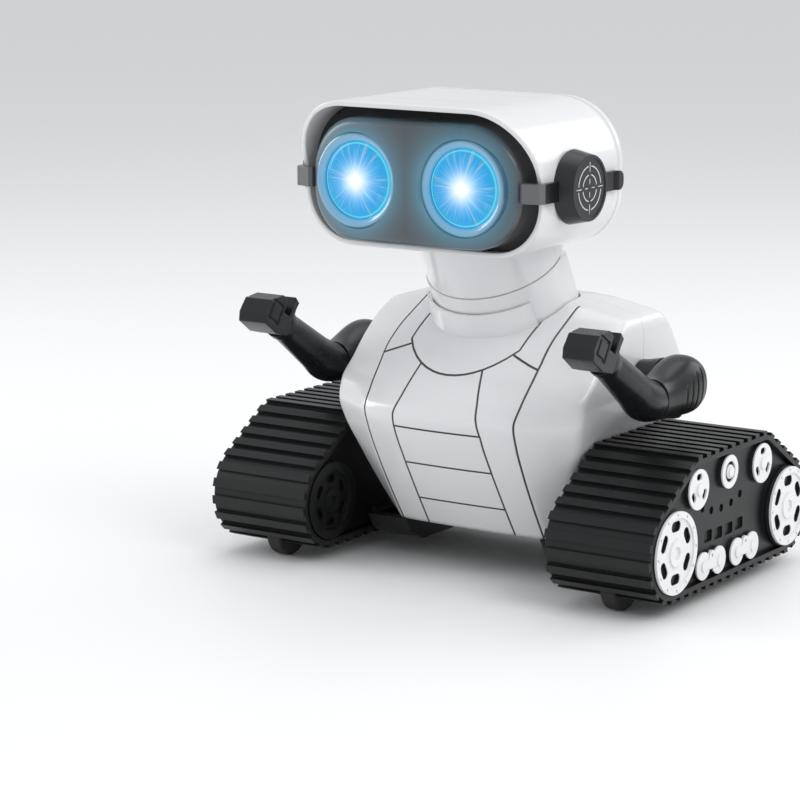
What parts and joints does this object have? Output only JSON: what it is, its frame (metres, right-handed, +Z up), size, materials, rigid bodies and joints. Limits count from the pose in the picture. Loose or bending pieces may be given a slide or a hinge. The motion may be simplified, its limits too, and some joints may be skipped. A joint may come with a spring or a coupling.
{
  "type": "toy robot",
  "caption": "White and black rolling toy robot on two fixed track pods, with glowing round eyes, a turning head, jointed arms with claws and hidden driven wheels.",
  "frame": {"origin": "on the ground, at the middle of the whole robot's base: midway between the two track pods", "axes": "+Z up, the robot faces -Y, its left side is +X"},
  "size_m": [0.2208, 0.1564, 0.205],
  "materials": {
    "white_shell": "gloss",
    "white_trim": "satin",
    "track_plastic": "satin",
    "black_plastic": "satin",
    "arm_plastic": "satin",
    "visor_plastic": "gloss",
    "eye_clear": "gloss",
    "eye_glow": "gloss",
    "strap_plastic": "satin",
    "wheel_rubber": "matte",
    "gear_nylon": "matte",
    "steel": "brushed",
    "circuit_board": "satin",
    "battery_wrap": "gloss",
    "speaker_frame": "matte"
  },
  "bodies": {
    "body": {"torso_front_shell": "white_shell", "torso_back_shell": "white_shell", "torso_screws": "steel", "main_board": "circuit_board", "speaker": "speaker_frame", "chassis_hull": "black_plastic", "battery_door": "black_plastic", "door_screws": "steel", "battery_pack": "battery_wrap", "charging_socket": "steel", "switch_body": "strap_plastic", "neck_base": "white_shell", "neck_collar": "white_shell", "track_shell_left": "track_plastic", "track_shell_right": "track_plastic", "outer_panel_left": "black_plastic", "outer_panel_right": "black_plastic", "inner_panel_left": "black_plastic", "inner_panel_right": "black_plastic", "inner_wheels": "black_plastic", "hub_discs_left": "white_trim", "hub_discs_right": "white_trim", "upper_wheels_left": "white_trim", "upper_wheels_right": "white_trim", "roller_links_left": "white_trim", "roller_links_right": "white_trim", "front_axle_pins": "steel", "drive_motor_left": "steel", "drive_motor_right": "steel", "gearbox_plate_left": "gear_nylon", "gearbox_plate_right": "gear_nylon"},
    "head": {"neck_column": "white_shell", "neck_retainer": "black_plastic", "head_shell": "white_shell", "head_rear_cover": "white_shell", "visor": "visor_plastic", "eye_ring_left": "eye_clear", "eye_ring_right": "eye_clear", "eye_lens_left": "eye_glow", "eye_lens_right": "eye_glow", "eye_board": "circuit_board", "temple_strap_left": "strap_plastic", "temple_strap_right": "strap_plastic", "ear_disc_left": "strap_plastic", "ear_disc_right": "strap_plastic"},
    "power_switch": {"switch_knob": "strap_plastic"},
    "upper_arm_left": {"upper_arm_left": "arm_plastic"},
    "forearm_left": {"forearm_left": "arm_plastic"},
    "claw_left": {"claw_left": "arm_plastic"},
    "front_wheel_left": {"front_wheel_left": "wheel_rubber"},
    "rear_wheel_left": {"rear_wheel_left": "wheel_rubber"},
    "idler_gear_left": {"idler_gear_left": "gear_nylon"},
    "motor_pinion_left": {"motor_pinion_left": "gear_nylon"},
    "upper_arm_right": {"upper_arm_right": "arm_plastic"},
    "forearm_right": {"forearm_right": "arm_plastic"},
    "claw_right": {"claw_right": "arm_plastic"},
    "front_wheel_right": {"front_wheel_right": "wheel_rubber"},
    "rear_wheel_right": {"rear_wheel_right": "wheel_rubber"},
    "idler_gear_right": {"idler_gear_right": "gear_nylon"},
    "motor_pinion_right": {"motor_pinion_right": "gear_nylon"}
  },
  "joints": [
    {"name": "head_turn", "type": "hinge", "parent": "body", "child": "head", "pos_m": [0, -0.0138, 0.1333], "axis": [0, -0.454, 0.891], "range_deg": [-30, 30]},
    {"name": "power_switch_slide", "type": "slide", "parent": "body", "child": "power_switch", "axis": [1, 0, 0], "range_m": [0, 0.003]},
    {"name": "shoulder_left", "type": "hinge", "parent": "body", "child": "upper_arm_left", "pos_m": [0.061, 0.005, 0.0855], "axis": [-1, 0, 0], "range_deg": [-15, 140]},
    {"name": "elbow_left", "type": "hinge", "parent": "upper_arm_left", "child": "forearm_left", "pos_m": [0.08, -0.02, 0.082], "axis": [0, -1, 0], "range_deg": [-45, 45]},
    {"name": "wrist_left", "type": "hinge", "parent": "forearm_left", "child": "claw_left", "pos_m": [0.08, -0.061, 0.1056], "axis": [0, -0.8526, 0.5225], "range_deg": [-90, 90]},
    {"name": "front_wheel_left_spin", "type": "hinge", "parent": "body", "child": "front_wheel_left", "pos_m": [0.084, -0.0504, 0.011], "axis": [1, 0, 0], "continuous": true},
    {"name": "rear_wheel_left_spin", "type": "hinge", "parent": "body", "child": "rear_wheel_left", "pos_m": [0.084, 0.022, 0.0162], "axis": [1, 0, 0], "continuous": true},
    {"name": "idler_gear_left_spin", "type": "hinge", "parent": "body", "child": "idler_gear_left", "pos_m": [0.033, 0.01494, 0.02028], "axis": [1, 0, 0], "continuous": true},
    {"name": "motor_pinion_left_spin", "type": "hinge", "parent": "body", "child": "motor_pinion_left", "pos_m": [0.031, 0.00731, 0.02162], "axis": [1, 0, 0], "continuous": true},
    {"name": "shoulder_right", "type": "hinge", "parent": "body", "child": "upper_arm_right", "pos_m": [-0.061, 0.005, 0.0855], "axis": [-1, 0, 0], "range_deg": [-15, 140]},
    {"name": "elbow_right", "type": "hinge", "parent": "upper_arm_right", "child": "forearm_right", "pos_m": [-0.08, -0.02, 0.082], "axis": [0, -1, 0], "range_deg": [-45, 45]},
    {"name": "wrist_right", "type": "hinge", "parent": "forearm_right", "child": "claw_right", "pos_m": [-0.08, -0.061, 0.1056], "axis": [0, -0.8526, 0.5225], "range_deg": [-90, 90]},
    {"name": "front_wheel_right_spin", "type": "hinge", "parent": "body", "child": "front_wheel_right", "pos_m": [-0.084, -0.0504, 0.011], "axis": [1, 0, 0], "continuous": true},
    {"name": "rear_wheel_right_spin", "type": "hinge", "parent": "body", "child": "rear_wheel_right", "pos_m": [-0.084, 0.022, 0.0162], "axis": [1, 0, 0], "continuous": true},
    {"name": "idler_gear_right_spin", "type": "hinge", "parent": "body", "child": "idler_gear_right", "pos_m": [-0.033, 0.01494, 0.02028], "axis": [1, 0, 0], "continuous": true},
    {"name": "motor_pinion_right_spin", "type": "hinge", "parent": "body", "child": "motor_pinion_right", "pos_m": [-0.031, 0.00731, 0.02162], "axis": [1, 0, 0], "continuous": true}
  ],
  "couplings": [
    {"joint": "idler_gear_left_spin", "follows": "rear_wheel_left_spin", "ratio": -3},
    {"joint": "motor_pinion_left_spin", "follows": "rear_wheel_left_spin", "ratio": 8.4},
    {"joint": "idler_gear_right_spin", "follows": "rear_wheel_right_spin", "ratio": -3},
    {"joint": "motor_pinion_right_spin", "follows": "rear_wheel_right_spin", "ratio": 8.4}
  ]
}
